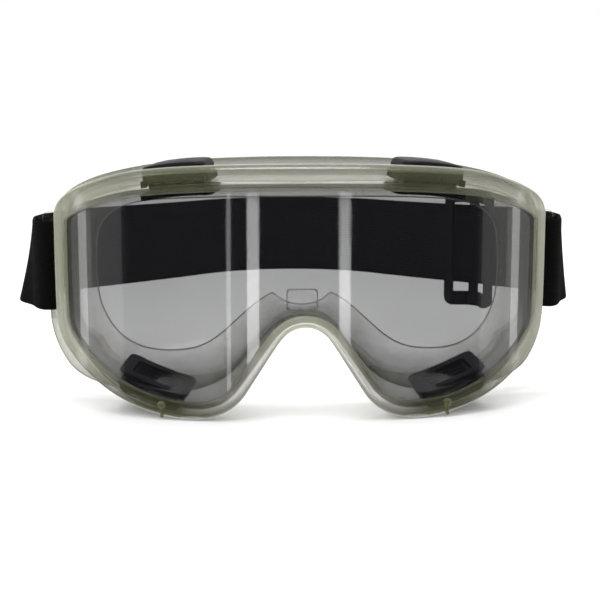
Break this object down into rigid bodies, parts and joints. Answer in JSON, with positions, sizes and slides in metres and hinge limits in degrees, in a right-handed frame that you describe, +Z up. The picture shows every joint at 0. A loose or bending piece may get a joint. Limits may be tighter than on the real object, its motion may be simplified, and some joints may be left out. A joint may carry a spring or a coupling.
{
  "type": "safety goggles",
  "caption": "Wide safety goggles: bent clear lens in a soft moulded frame with face flange, snap-in vents, and an elastic head strap with slider on side lugs.",
  "frame": {"origin": "middle of the object's box, on the surface it stands on", "axes": "+Z up, -Y the way the lens faces, +Y back towards the wearer's face, +X to the right seen from the front"},
  "size_m": [0.2028, 0.1558, 0.0837],
  "materials": {
    "soft_vinyl": "soft translucent vinyl, smooth, slightly yellow",
    "clear_lens": "clear polycarbonate, glossy, faint grey",
    "vent_plastic": "black moulded plastic, satin",
    "vent_screen": "darker black plastic, matt",
    "elastic": "black woven elastic webbing",
    "thread": "dark sewing thread",
    "slider_plastic": "black moulded plastic, lightly glossy"
  },
  "bodies": {
    "goggle": {"frame_rim": "soft_vinyl", "frame_wall": "soft_vinyl", "face_flange": "soft_vinyl", "strap_lug_right": "soft_vinyl", "strap_lug_left": "soft_vinyl", "lens": "clear_lens", "vent_plug_top_right": "vent_plastic", "vent_plug_top_left": "vent_plastic", "vent_plug_bottom_right": "vent_plastic", "vent_plug_bottom_left": "vent_plastic", "vent_grid_top_right": "vent_screen", "vent_grid_top_left": "vent_screen", "vent_grid_bottom_right": "vent_screen", "vent_grid_bottom_left": "vent_screen", "vent_cap_top_right": "vent_plastic", "vent_cap_top_left": "vent_plastic", "vent_cap_bottom_right": "vent_plastic", "vent_cap_bottom_left": "vent_plastic", "strap_loop_right": "elastic", "strap_loop_left": "elastic"},
    "strap": {"strap_band": "elastic", "strap_fold_left": "elastic", "strap_tail_right": "elastic", "strap_tack_left": "thread", "strap_tack_right": "thread"},
    "slider": {"strap_slider": "slider_plastic"}
  },
  "joints": [
    {"name": "strap_swing", "type": "hinge", "parent": "goggle", "child": "strap", "pos_m": [0, -0.02967, 0.04528], "axis": [1, 0, 0], "range_deg": [-30, 30]},
    {"name": "slider_slide", "type": "slide", "parent": "strap", "child": "slider", "axis": [-0.7238, 0.6901, 0], "range_m": [0, 0.025]}
  ]
}
